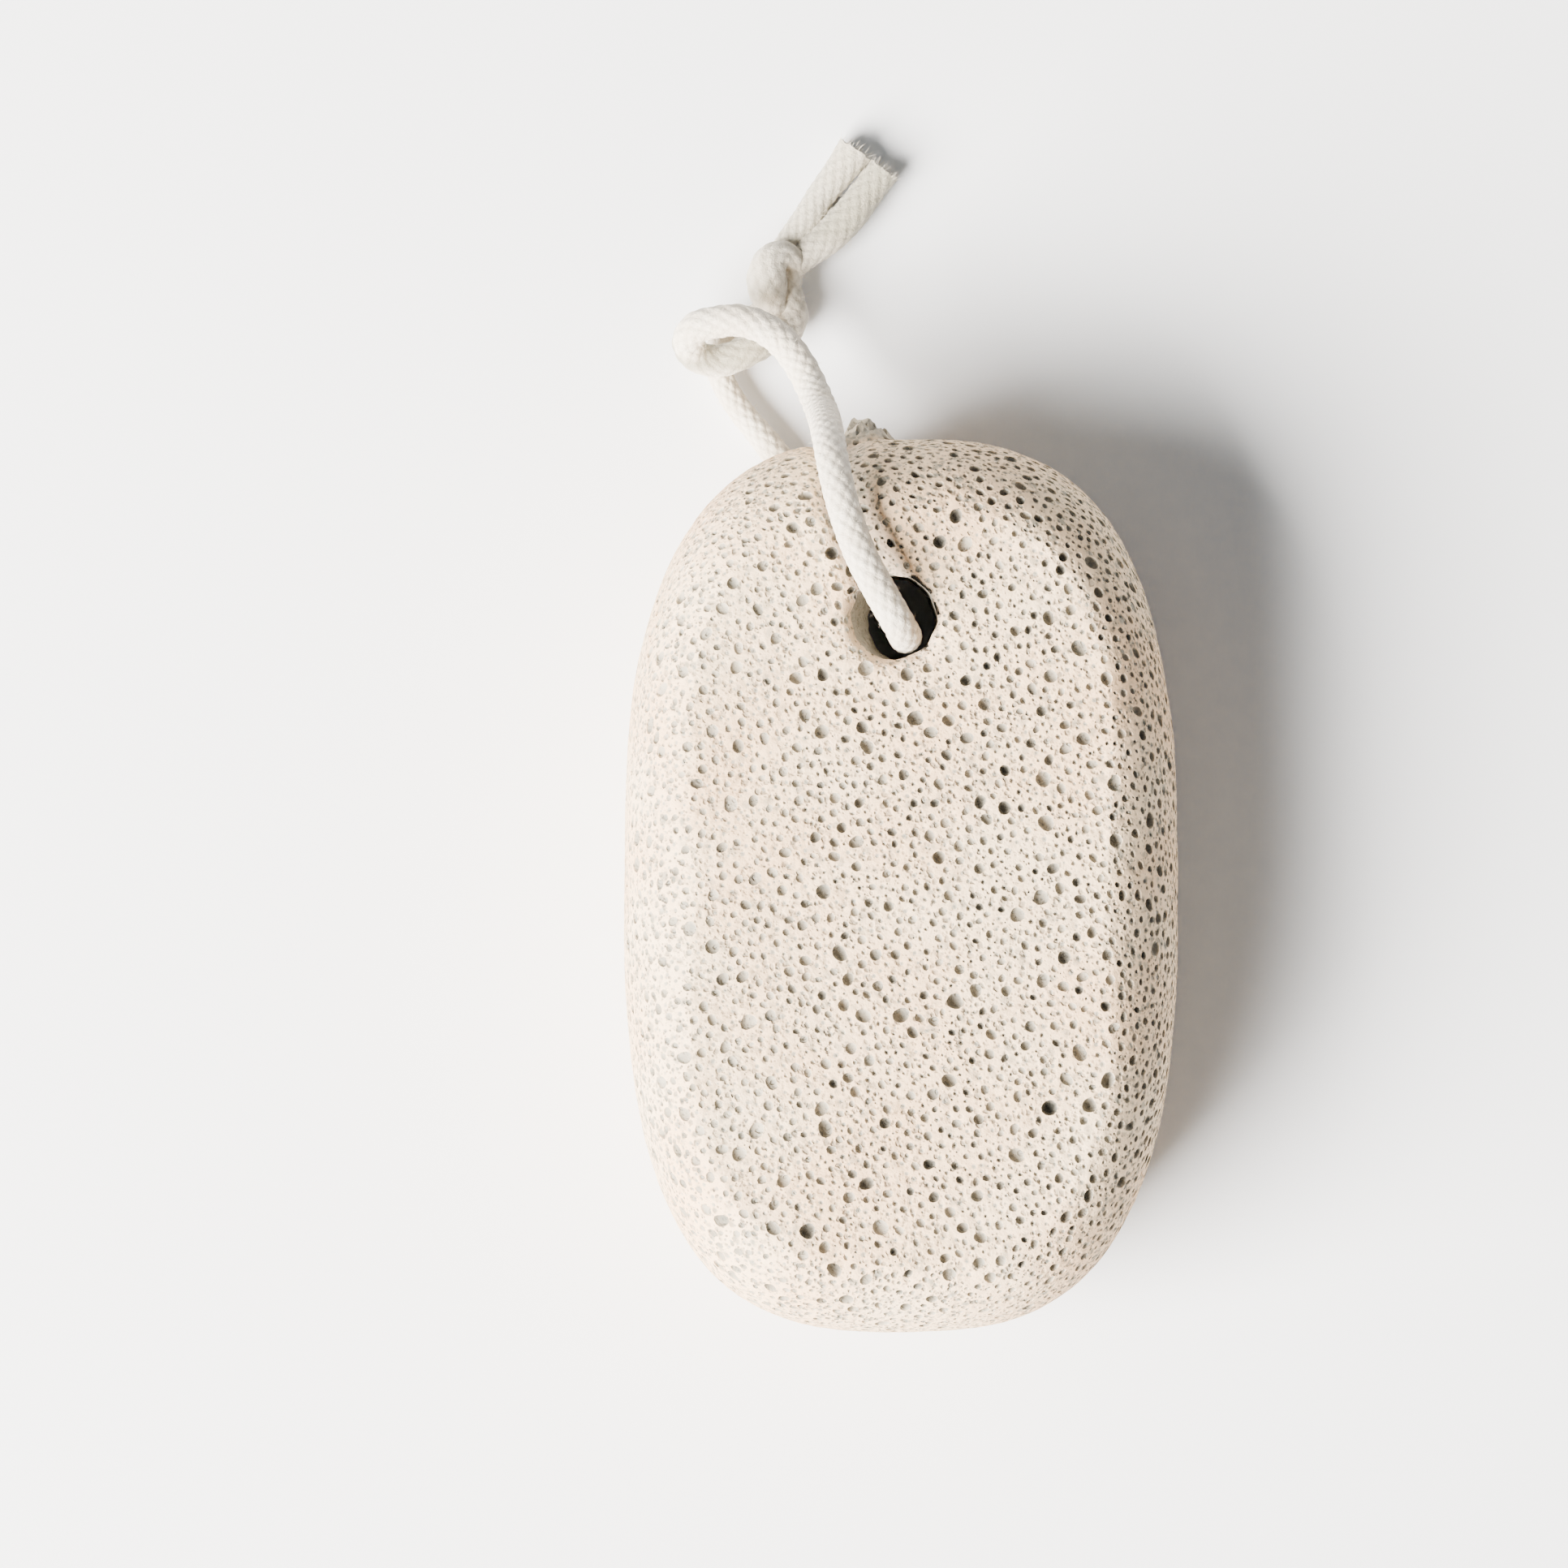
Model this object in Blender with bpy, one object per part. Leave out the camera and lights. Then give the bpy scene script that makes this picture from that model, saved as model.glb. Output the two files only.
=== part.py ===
"""A pumice foot stone on its cotton rope, lying on its flat back.

The stone's long side runs along Y with the rope's end at +Y, its width runs along X, and z = 0 is
the surface it lies on. The origin is under the middle of the stone. Sizes are in millimetres.
"""

import math
import random

import bmesh
import bpy
from mathutils import Matrix, Vector

MM = 0.001

# The block of pumice
LENGTH = 100.0
WIDTH = 62.0
THICKNESS = 35.0
OUTLINE_POWER = 2.85        # 2 would be an ellipse, higher is squarer
SHOULDER = 11.0             # how far the rounded edge reaches in from the outline
SHOULDER_POWER = 2.2
OUTLINE_SIDES = 60
SHOULDER_STEPS = 14         # rings of the ball that the block is shaped from

# The drilled hole and its mouths
HOLE_AT = (-0.8, 29.8)
HOLE_RADIUS = 4.6
HOLE_SIDES = 24
FRONT_MOUTH_AT = (-1.3, 29.6)
FRONT_MOUTH_RADIUS = 8.0    # ball that rounds the front mouth
FRONT_MOUTH_DEPTH = 1.7
BACK_MOUTH_RADIUS = 7.5
BACK_MOUTH_DEPTH = 6.2
MOUTH_SIDES = 20
MOUTH_RINGS = 12

# The channels that the rope has worn, each cut by a round bar along a path
FRONT_CHANNEL_RADIUS = 4.6
FRONT_CHANNEL_PATH = (
    (-1.6, 32.0, 38.2), (-4.2, 38.5, 38.0), (-5.8, 43.0, 37.6), (-6.6, 47.6, 35.2),
    (-7.0, 51.0, 30.6), (-7.2, 52.6, 24.0), (-7.3, 53.4, 17.0),
)
BACK_CHANNEL_RADIUS = 3.7
BACK_CHANNEL_PATH = (
    (-1.4, 30.8, 3.0), (-3.4, 33.8, 1.6), (-5.4, 36.7, 0.8), (-8.4, 40.9, 0.6),
    (-11.9, 45.6, 0.6), (-15.6, 50.6, 0.6), (-18.4, 54.2, 0.6),
)
CHANNEL_STEP = 3.0

# The rough crumb of rock left standing on the top end
CRUMB_AT = (-3.2, 48.2, 11.0)
CRUMB_SIZE = (3.3, 2.5, 4.6)
CRUMB_ROUGHNESS = 0.16

# The larger pores, sunk in the surface all round
PIT_COUNT = 345
PIT_RADIUS = (0.8, 1.3)
PIT_DEPTH = 1.5             # times its radius
PIT_OVERSHOOT = 0.3         # how far its cutter stands out of the stone, times its radius
PIT_CORNERS = 6
PIT_UNEVENNESS = 0.18
PIT_SPACING = 4.0
PIT_CLEAR_OF_HOLE = 9.0
PIT_CLEAR_OF_CHANNEL = 5.6
PIT_CLEAR_OF_CRUMB = 7.0
REST_PATCH_AT = (0.0, -12.0)
REST_PATCH_RADIUS = 6.0     # kept whole on the back, so that the stone has a plain face to rest on
PIT_SEED = 7

# The cotton rope
ROPE_DIAMETER = 3.6
ROPE_STEP = 3.0             # between the points of a tube
ROPE_FRONT_ROUTE = (
    (0.3, 28.1, 17.8), (0.4, 27.8, 23.0), (0.4, 27.7, 28.0), (0.4, 27.7, 32.0),
    (0.0, 28.4, 35.0), (-1.1, 30.3, 37.2), (-2.6, 32.9, 38.0), (-4.4, 36.3, 37.8),
    (-5.7, 39.6, 37.2), (-6.8, 43.2, 36.2), (-7.6, 46.8, 33.8), (-8.1, 49.8, 29.2),
    (-8.4, 51.5, 23.5), (-8.6, 52.4, 18.5), (-9.0, 53.6, 14.6), (-9.8, 55.6, 11.9),
    (-11.1, 58.2, 10.7), (-13.0, 60.8, 10.6), (-15.4, 62.6, 10.9), (-18.1, 63.4, 10.9),
    (-20.8, 63.2, 10.3), (-22.9, 62.6, 9.5), (-23.8, 61.1, 8.1), (-22.9, 59.6, 6.7),
    (-20.8, 59.0, 6.0), (-18.6, 59.5, 5.9), (-16.6, 60.5, 5.6), (-14.6, 61.6, 4.5),
    (-12.9, 62.4, 2.9), (-12.1, 64.1, 2.1),
)
ROPE_BACK_ROUTE = (
    (0.3, 28.1, 17.5), (0.1, 28.4, 13.0), (-0.7, 29.7, 7.6), (-2.6, 32.6, 3.6),
    (-5.1, 36.3, 2.1), (-8.3, 40.8, 2.0), (-11.6, 45.3, 2.0), (-14.9, 49.8, 2.0),
    (-18.0, 53.6, 2.0), (-20.0, 57.0, 2.0), (-20.5, 60.0, 2.0), (-19.2, 62.6, 2.1),
    (-16.1, 64.2, 2.2),
)
TAIL_LEFT_ROUTE = (
    (-12.3, 74.3, 2.5), (-10.6, 76.1, 2.1), (-8.7, 78.3, 2.0), (-6.8, 80.8, 2.0),
    (-5.1, 83.1, 2.0),
)
TAIL_RIGHT_ROUTE = (
    (-9.2, 71.9, 3.2), (-7.3, 73.6, 2.3), (-5.4, 75.8, 2.0), (-3.5, 78.3, 2.0),
    (-1.8, 80.7, 2.0),
)

# The knot
KNOT_AT = (-14.0, 69.2, 3.75)
KNOT_SIZE = (3.2, 3.9, 3.5)
KNOT_POWER = 2.7
KNOT_SIDES = 16
KNOT_RINGS = 10
KNOT_WRAP_RADIUS = 2.25     # from the middle of the knot to the middle of the rope's turn round it
KNOT_WRAP_THICKNESS = 1.45
KNOT_WRAP_TILT = (math.radians(68), math.radians(0), math.radians(-38))


def clear_scene():
    for item in list(bpy.data.objects):
        bpy.data.objects.remove(item, do_unlink=True)


def collection(name):
    group = bpy.data.collections.new(name)
    bpy.context.scene.collection.children.link(group)
    return group


def material(name, colour, roughness):
    finish = bpy.data.materials.new(name)
    finish.use_nodes = True
    shader = finish.node_tree.nodes["Principled BSDF"]
    shader.inputs["Base Color"].default_value = (*colour, 1.0)
    shader.inputs["Roughness"].default_value = roughness
    shader.inputs["Metallic"].default_value = 0.0
    return finish


def millimetres(*lengths):
    return Vector([length * MM for length in lengths])


def add_mesh(name, bm, group, finish=None):
    """Put a finished bmesh in the scene as an object of its own."""
    mesh = bpy.data.meshes.new(name)
    bmesh.ops.recalc_face_normals(bm, faces=bm.faces)
    bm.to_mesh(mesh)
    bm.free()
    item = bpy.data.objects.new(name, mesh)
    group.objects.link(item)
    if finish:
        mesh.materials.append(finish)
    return item


def make_guide(item):
    item.hide_render = True
    item.display_type = "WIRE"
    return item


def smooth_route(points, step):
    """Points a step apart on one smooth curve through the given points."""
    given = [Vector(point) for point in points]
    ends = [2 * given[0] - given[1]] + given + [2 * given[-1] - given[-2]]
    fine = []
    for before, start, end, after in zip(ends, ends[1:], ends[2:], ends[3:]):
        for part in range(16):
            t = part / 16
            fine.append(0.5 * (
                2 * start + (end - before) * t
                + (2 * before - 5 * start + 4 * end - after) * t ** 2
                + (3 * start - before - 3 * end + after) * t ** 3
            ))
    fine.append(given[-1])
    lengths = [0.0]
    for here, there in zip(fine, fine[1:]):
        lengths.append(lengths[-1] + (there - here).length)
    count = max(2, round(lengths[-1] / step))
    route = []
    at = 0
    for part in range(count + 1):
        wanted = lengths[-1] * part / count
        while at < len(fine) - 2 and lengths[at + 1] < wanted:
            at += 1
        share = (wanted - lengths[at]) / (lengths[at + 1] - lengths[at])
        route.append(fine[at].lerp(fine[at + 1], min(share, 1.0)))
    return route


def add_tube(name, points, radius, step, group, finish=None):
    """A round bar or a length of rope, as a curve with a bevel."""
    curve = bpy.data.curves.new(name, "CURVE")
    curve.dimensions = "3D"
    curve.bevel_depth = radius * MM
    curve.bevel_resolution = 2
    curve.use_fill_caps = True
    curve.twist_mode = "MINIMUM"
    route = smooth_route(points, step)
    spline = curve.splines.new("POLY")
    spline.points.add(len(route) - 1)
    for target, point in zip(spline.points, route):
        target.co = (*(point * MM), 1.0)
    item = bpy.data.objects.new(name, curve)
    group.objects.link(item)
    if finish:
        curve.materials.append(finish)
    return item


def tube_to_mesh(tube, group):
    """The same tube as one closed mesh, which a Boolean can cut with."""
    evaluated = tube.evaluated_get(bpy.context.evaluated_depsgraph_get())
    mesh = bpy.data.meshes.new_from_object(evaluated)
    bm = bmesh.new()
    bm.from_mesh(mesh)
    bmesh.ops.remove_doubles(bm, verts=bm.verts, dist=0.001 * MM)
    bmesh.ops.recalc_face_normals(bm, faces=bm.faces)
    bm.to_mesh(mesh)
    bm.free()
    item = bpy.data.objects.new(tube.name + "_bar", mesh)
    item.matrix_world = tube.matrix_world
    group.objects.link(item)
    bpy.data.objects.remove(tube, do_unlink=True)
    return item


def combine(item, other, operation):
    step = item.modifiers.new(operation.title() + " " + other.name, "BOOLEAN")
    step.operation = operation
    step.solver = "EXACT"
    step.object = other


def outline_radius(turn):
    """From the middle of the stone to its outline, in the direction of the angle."""
    across = abs(math.cos(turn)) / (WIDTH / 2)
    along = abs(math.sin(turn)) / (LENGTH / 2)
    return (across ** OUTLINE_POWER + along ** OUTLINE_POWER) ** (-1 / OUTLINE_POWER)


def stone_blank():
    """A ball drawn out into a slab with two flat faces and a rounded edge all round."""
    bm = bmesh.new()
    bmesh.ops.create_uvsphere(
        bm, u_segments=OUTLINE_SIDES, v_segments=SHOULDER_STEPS, radius=1.0)
    poles = [v for v in bm.verts if abs(v.co.z) > 0.9999]
    bmesh.ops.dissolve_verts(bm, verts=poles)
    bend = 2 / SHOULDER_POWER
    face_level = max(v.co.z for v in bm.verts) ** bend
    for v in bm.verts:
        turn = math.atan2(v.co.y, v.co.x)
        inset = SHOULDER * (1 - math.hypot(v.co.x, v.co.y) ** bend)
        level = math.copysign(abs(v.co.z) ** bend / face_level, v.co.z)
        reach = outline_radius(turn) - inset
        v.co = millimetres(
            reach * math.cos(turn), reach * math.sin(turn), THICKNESS / 2 * (1 + level))
    return bm


def add_bar(name, radius, bottom, top, at, sides, group):
    bm = bmesh.new()
    bmesh.ops.create_cone(
        bm, cap_ends=True, segments=sides, radius1=radius * MM, radius2=radius * MM,
        depth=(top - bottom) * MM,
        matrix=Matrix.Translation(millimetres(*at, (top + bottom) / 2)))
    return make_guide(add_mesh(name, bm, group))


def add_ball(name, radius, at, group):
    bm = bmesh.new()
    bmesh.ops.create_uvsphere(
        bm, u_segments=MOUTH_SIDES, v_segments=MOUTH_RINGS, radius=radius * MM,
        matrix=Matrix.Translation(millimetres(*at)))
    return make_guide(add_mesh(name, bm, group))


def add_crumb(group):
    """A small lump with an uneven skin."""
    chance = random.Random(3)
    bm = bmesh.new()
    bmesh.ops.create_icosphere(bm, subdivisions=2, radius=1.0)
    for v in bm.verts:
        v.co *= 1 + chance.uniform(-CRUMB_ROUGHNESS, CRUMB_ROUGHNESS)
        v.co = Vector([side * size * MM for side, size in zip(v.co, CRUMB_SIZE)])
    bmesh.ops.translate(bm, verts=bm.verts, vec=millimetres(*CRUMB_AT))
    return make_guide(add_mesh("Crumb", bm, group))


def distance_to_path(point, path):
    """From a point to a path, both seen from above."""
    spot = Vector(point[:2])
    stretches = zip(path, path[1:])
    best = math.inf
    for start, end in stretches:
        start, end = Vector(start[:2]), Vector(end[:2])
        run = end - start
        share = min(max((spot - start).dot(run) / run.length_squared, 0.0), 1.0)
        best = min(best, (spot - start - share * run).length)
    return best


def takes_pit(spot, on_front):
    """Whether a pit may go here, clear of the hole, the channels, the crumb and the rest patch."""
    flat = Vector(spot[:2])
    if (flat - Vector(HOLE_AT)).length < PIT_CLEAR_OF_HOLE:
        return False
    path = FRONT_CHANNEL_PATH if on_front else BACK_CHANNEL_PATH
    if distance_to_path(spot, path) < PIT_CLEAR_OF_CHANNEL:
        return False
    if (spot - Vector(CRUMB_AT)).length < PIT_CLEAR_OF_CRUMB:
        return False
    return on_front or (flat - Vector(REST_PATCH_AT)).length > REST_PATCH_RADIUS


def pit_places():
    """Evenly scattered spots on the blank's skin, each with the way out of the stone."""
    chance = random.Random(PIT_SEED)
    bm = stone_blank()
    bmesh.ops.triangulate(bm, faces=bm.faces)
    bm.normal_update()
    skin = [([v.co / MM for v in face.verts], face.normal.copy()) for face in bm.faces]
    areas = [face.calc_area() for face in bm.faces]
    bm.free()
    places = []
    while len(places) < PIT_COUNT:
        corners, normal = chance.choices(skin, weights=areas)[0]
        a, b = sorted((chance.random(), chance.random()))
        spot = corners[0] * a + corners[1] * (b - a) + corners[2] * (1 - b)
        if not takes_pit(spot, spot.z > THICKNESS / 2):
            continue
        if all((spot - other).length > PIT_SPACING for other, _ in places):
            places.append((spot, normal))
    return places


def add_pits(group):
    """Every pit's cutter in one mesh: uneven cones with their tips in the stone."""
    chance = random.Random(PIT_SEED + 1)
    bm = bmesh.new()
    for spot, normal in pit_places():
        radius = chance.uniform(*PIT_RADIUS)
        height = radius * (PIT_DEPTH + PIT_OVERSHOOT)
        middle = spot - normal * (radius * PIT_DEPTH - height / 2)
        inward = Vector((0, 0, 1)).rotation_difference(-normal).to_matrix().to_4x4()
        spin = Matrix.Rotation(chance.uniform(0, math.tau), 4, "Z")
        cone = bmesh.ops.create_cone(
            bm, cap_ends=True, segments=PIT_CORNERS, radius1=radius * MM, radius2=0,
            depth=height * MM)["verts"]
        for v in cone:
            v.co *= 1 + chance.uniform(-PIT_UNEVENNESS, PIT_UNEVENNESS)
        place = Matrix.Translation(middle * MM) @ inward @ spin
        bmesh.ops.transform(bm, matrix=place, verts=cone)
    return make_guide(add_mesh("Pits", bm, group))


def add_stone(parts, cutters):
    finish = material("pumice", (0.80, 0.70, 0.61), 0.95)
    stone = add_mesh("stone", stone_blank(), parts, finish)
    stone.data.shade_smooth()
    stone.data.set_sharp_from_angle(angle=math.radians(32))

    overshoot = 5.0
    hole = add_bar(
        "Hole", HOLE_RADIUS, -overshoot, THICKNESS + overshoot, HOLE_AT, HOLE_SIDES, cutters)
    front_mouth = add_ball(
        "Front mouth", FRONT_MOUTH_RADIUS,
        (*FRONT_MOUTH_AT, THICKNESS + FRONT_MOUTH_RADIUS - FRONT_MOUTH_DEPTH), cutters)
    back_mouth = add_ball(
        "Back mouth", BACK_MOUTH_RADIUS, (*HOLE_AT, BACK_MOUTH_DEPTH - BACK_MOUTH_RADIUS), cutters)
    combine(stone, add_crumb(cutters), "UNION")
    for cutter in (hole, front_mouth, back_mouth):
        combine(stone, cutter, "DIFFERENCE")
    for name, path, radius in (
        ("Front channel", FRONT_CHANNEL_PATH, FRONT_CHANNEL_RADIUS),
        ("Back channel", BACK_CHANNEL_PATH, BACK_CHANNEL_RADIUS),
    ):
        bar = tube_to_mesh(add_tube(name, path, radius, CHANNEL_STEP, cutters), cutters)
        combine(stone, make_guide(bar), "DIFFERENCE")
    combine(stone, add_pits(cutters), "DIFFERENCE")


def add_knot(parts, cutters, finish):
    """The rope pulled tight in a small barrel, with one turn showing round it."""
    bm = bmesh.new()
    bmesh.ops.create_uvsphere(bm, u_segments=KNOT_SIDES, v_segments=KNOT_RINGS, radius=1.0)
    for v in bm.verts:
        square = sum(abs(side) ** KNOT_POWER for side in v.co) ** (-1 / KNOT_POWER)
        v.co = Vector([side * square * size * MM for side, size in zip(v.co, KNOT_SIZE)])
    bmesh.ops.translate(bm, verts=bm.verts, vec=millimetres(*KNOT_AT))
    knot = add_mesh("rope_knot", bm, parts, finish)
    knot.data.shade_smooth()

    bpy.ops.mesh.primitive_torus_add(
        major_segments=18, minor_segments=8, major_radius=KNOT_WRAP_RADIUS * MM,
        minor_radius=KNOT_WRAP_THICKNESS * MM, location=millimetres(*KNOT_AT),
        rotation=KNOT_WRAP_TILT)
    turn = bpy.context.active_object
    turn.name = "Knot turn"
    for group in turn.users_collection:
        group.objects.unlink(turn)
    cutters.objects.link(turn)
    combine(knot, make_guide(turn), "UNION")


def add_rope(parts, cutters):
    finish = material("cotton", (0.83, 0.79, 0.70), 0.9)
    for name, route in (
        ("rope_front", ROPE_FRONT_ROUTE),
        ("rope_back", ROPE_BACK_ROUTE),
        ("rope_tail_left", TAIL_LEFT_ROUTE),
        ("rope_tail_right", TAIL_RIGHT_ROUTE),
    ):
        add_tube(name, route, ROPE_DIAMETER / 2, ROPE_STEP, parts, finish)
    add_knot(parts, cutters, finish)


clear_scene()
parts = collection("Pumice stone")
cutters = collection("Cutters")
add_stone(parts, cutters)
add_rope(parts, cutters)
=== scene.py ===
"""A pumice foot stone on its cotton rope: the pitted rock, the braided rope and its knot.

The stone lies on its flat back and is seen from straight above, with the end that has the hole and
the rope towards the top of the picture. Sizes are in millimetres until a mesh is made of them.
"""

import math

import bmesh
import bpy
import numpy as np
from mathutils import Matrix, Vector, noise
from mathutils.geometry import delaunay_2d_cdt


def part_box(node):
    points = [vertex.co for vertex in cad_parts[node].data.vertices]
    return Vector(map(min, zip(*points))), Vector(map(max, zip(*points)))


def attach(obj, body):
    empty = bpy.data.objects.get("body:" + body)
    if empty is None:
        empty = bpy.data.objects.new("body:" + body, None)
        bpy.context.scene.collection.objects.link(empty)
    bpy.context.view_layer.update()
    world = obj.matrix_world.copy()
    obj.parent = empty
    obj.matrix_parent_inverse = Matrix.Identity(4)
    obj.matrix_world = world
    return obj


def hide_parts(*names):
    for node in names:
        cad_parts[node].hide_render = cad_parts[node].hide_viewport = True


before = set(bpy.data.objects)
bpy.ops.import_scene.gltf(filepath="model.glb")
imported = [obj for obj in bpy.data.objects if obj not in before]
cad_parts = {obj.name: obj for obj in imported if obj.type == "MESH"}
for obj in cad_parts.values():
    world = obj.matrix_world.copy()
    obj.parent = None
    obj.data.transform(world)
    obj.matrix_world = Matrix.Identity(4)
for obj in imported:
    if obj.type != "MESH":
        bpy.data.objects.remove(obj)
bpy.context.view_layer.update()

MM = 0.001

# The stone's own size, read from the frame
stone_low, stone_high = (np.array(corner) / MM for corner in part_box("stone"))
WIDTH = stone_high[0] - stone_low[0]
LENGTH = -2 * stone_low[1]
THICKNESS = stone_high[2]

# The stone's form
OUTLINE_POWER = 2.85
SHOULDER = 11.0
SHOULDER_POWER = 2.2
FACE_LIFT = math.radians(90 - 180 / 14)     # where the rounded edge meets the flat face
FACE_SLOPE = 0.9                            # skin this nearly level belongs to a face
HOLE_AT = (-0.8, 29.8)
HOLE_RADIUS = 4.6
MOUTHS = (((-1.3, 29.6, 41.3), 8.0), ((-0.8, 29.8, -1.3), 7.5))
LIP = 1.3                                   # how far the worn lip of the hole is rounded
LIP_DEPTH = 0.8                             # of a full quarter round
HOLE_WAIST = 1.9                            # how far its left wall stands in
WAIST_IN, WAIST_OUT = (0.02, 0.24), (0.52, 0.30)        # where, as shares of the way down
HOLE_CHIPS = 1.4                            # how far from the hole its edge is uneven
CHIP_HEIGHT = 0.35
CHIP_NOISE = (1.6, 7.0)                     # wavelength and offset
WALL_NOISE = (1.3, 2.0)
# Painted shade on the hole's wall: a little through the pore shade, fully through the wear and shade
WALL_DARK, WALL_WEAR_AND_SHADE = 0.1, 2.6
CHANNELS = (
    (((-1.6, 32.0, 38.2), (-4.2, 38.5, 38.0), (-5.8, 43.0, 37.6), (-6.6, 47.6, 35.2),
      (-7.0, 51.0, 30.6), (-7.2, 52.6, 24.0), (-7.3, 53.4, 17.0)), 4.6),
    (((-1.4, 30.8, 3.0), (-3.4, 33.8, 1.6), (-5.4, 36.7, 0.8), (-8.4, 40.9, 0.6),
      (-11.9, 45.6, 0.6), (-15.6, 50.6, 0.6), (-18.4, 54.2, 0.6)), 3.7),
)
CHANNEL_STEP = 0.5
CARVE_SOFTNESS = 1.2
WEAR_AND_SHADE_BETWEEN = (0.02, 0.7)                  # carved depths, from bare to fully worn and shaded
CRUMB_AT = (-4.0, 49.6, 11.0)
CRUMB_REACH = 4.4
CRUMB_STRETCH = (1.0, 1.0, 1.25)
CRUMB_HEIGHT = 2.3
CRUMB_EDGE = 1.2                            # power of its fall towards the edge
CRUMB_NOISES = ((0.7, 1.5, 5.0), (0.5, 0.7, 8.0))       # height, wavelength and offset
# Painted shade greying the crumb
CRUMB_DARK = 0.12
ROCK_NOISES = ((0.16, 17.0, 0.0), (0.10, 5.5, 3.0), (0.055, 1.1, 9.0))
FRONT_LIFT = 0.2                            # so that the front's relief also rises above the plain skin

# The pores
PORES_PER_SIDE = {1: 5900, -1: 3200}        # 1 is the front half, -1 the back half
PORE_MIDDLE_RADIUS = 0.31
PORE_SPREAD = 0.42                          # of the logarithm of the radius
PORE_SMALLEST, PORE_LARGEST = 0.13, 0.90
PORE_GAP = 0.06
PORE_REACH = 1.26                           # of an uneven pore's longest radius to its mean one
PORE_STRETCH, PORE_CORNER = 0.7, 0.3        # shares of that which make it oval and three-cornered
PORE_DEPTHS = (0.55, 1.15)                  # of its radius
# Painted shade at the bottom of a pore, times how deep it is
PORE_DARKS = (0.4, 1.0)
PORE_TRIES = 90000                          # places offered to the pores of a side
PORE_SEED = 11
PORE_MARGIN = 0.2                           # kept from the hole and the widest line
SKIN_MARGIN = 0.3
WORN_BARE = 0.75                            # share of the places that a worn channel has lost
WORN_BETWEEN = (0.5, 1.2)                   # carved depths
BACK_BARE = 0.85                            # the same on the face that the stone lies on
BACK_BETWEEN = (0.75, 0.97)                 # how nearly the skin faces straight down
LEFT_SHALLOWER = 0.4                        # off the depth of the pores at the left, and so off their painted shade
LEFT_BETWEEN = (-4.0, -20.0)
# Kinds of pore: the smallest radius, then rings from the rim to the bottom as (points, share of
# the radius on the chart, share of it in space, depth)
PORE_KINDS = (
    (0.56, ((12, 1.0, 1.0, 0.0), (8, 0.70, 0.93, 0.65), (4, 0.36, 0.58, 1.15), (1, 0, 0, 1.3))),
    (0.36, ((8, 1.0, 1.0, 0.0), (5, 0.60, 0.82, 0.8), (1, 0, 0, 1.35))),
    (0.00, ((6, 1.0, 1.0, 0.0), (1, 0, 0, 1.4))),
)
FILL_SPACING = 1.15                         # of the points between the pores
FILL_SPACING_CARVED = FILL_SPACING / 2
FILL_TRIES = 60000
SEAM_SIDES = 320                            # round the widest line, where the sides meet
HOLE_SIDES = 72
HOLE_ROWS = 26
PROFILE_STEPS = 400
ROCK_SHARP = math.radians(50)

ROUTE_DETAIL = 16                           # fine points from one point of a route to the next

# The rope: its route through the hole, over and under the stone, and to the knot
ROPE_RADIUS = 1.8
ROPE_FRONT_ROUTE = (
    (0.3, 28.1, 17.8), (0.4, 27.8, 23.0), (0.4, 27.7, 28.0), (0.4, 27.7, 32.0),
    (0.0, 28.4, 35.0), (-1.1, 30.3, 37.2), (-2.6, 32.9, 38.0), (-4.4, 36.3, 37.8),
    (-5.7, 39.6, 37.2), (-6.8, 43.2, 36.2), (-7.6, 46.8, 33.8), (-8.1, 49.8, 29.2),
    (-8.4, 51.5, 23.5), (-8.6, 52.4, 18.5), (-9.0, 53.6, 14.6), (-9.8, 55.6, 11.9),
    (-11.1, 58.2, 10.7), (-13.0, 60.8, 10.6), (-15.4, 62.6, 10.9), (-18.1, 63.4, 10.9),
    (-20.8, 63.2, 10.3), (-22.9, 62.6, 9.5), (-23.8, 61.1, 8.1), (-22.9, 59.6, 6.7),
    (-20.8, 59.0, 6.0), (-18.6, 59.5, 5.9), (-16.6, 60.5, 5.6), (-14.6, 61.6, 4.5),
    (-12.9, 62.4, 2.9), (-12.1, 64.1, 2.1),
)
ROPE_BACK_ROUTE = (
    (0.3, 28.1, 17.5), (0.1, 28.4, 13.0), (-0.7, 29.7, 7.6), (-2.6, 32.6, 3.6),
    (-5.1, 36.3, 2.1), (-8.3, 40.8, 2.0), (-11.6, 45.3, 2.0), (-14.9, 49.8, 2.0),
    (-18.0, 53.6, 2.0), (-20.0, 57.0, 2.0), (-20.5, 60.0, 2.0), (-19.2, 62.6, 2.1),
    (-16.1, 64.2, 2.2),
)
# On through the knot to the cut ends: place and radius
KNOT_RIGHT_ROUTE = (
    (-12.3, 65.8, 2.1, 1.65), (-12.6, 67.5, 2.3, 1.6), (-12.4, 69.2, 2.5, 1.6),
    (-11.4, 70.5, 2.5, 1.65), (-10.0, 71.7, 2.3, 1.8), (-8.4, 72.9, 2.1, 1.95),
    (-6.9, 74.3, 2.0, 2.0), (-5.3, 76.0, 2.0, 1.95), (-3.6, 78.3, 1.95, 1.85),
    (-1.75, 80.7, 1.9, 1.85),
)
KNOT_LEFT_ROUTE = (
    (-14.9, 65.5, 3.3, 1.6), (-14.2, 67.2, 3.7, 1.55), (-13.9, 69.3, 3.3, 1.5),
    (-13.1, 71.4, 2.5, 1.5), (-11.9, 73.3, 2.1, 1.5), (-10.4, 75.3, 2.0, 1.6),
    (-8.8, 77.9, 1.9, 1.6), (-6.7, 80.6, 1.9, 1.8), (-4.95, 83.0, 1.9, 2.1),
)
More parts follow.
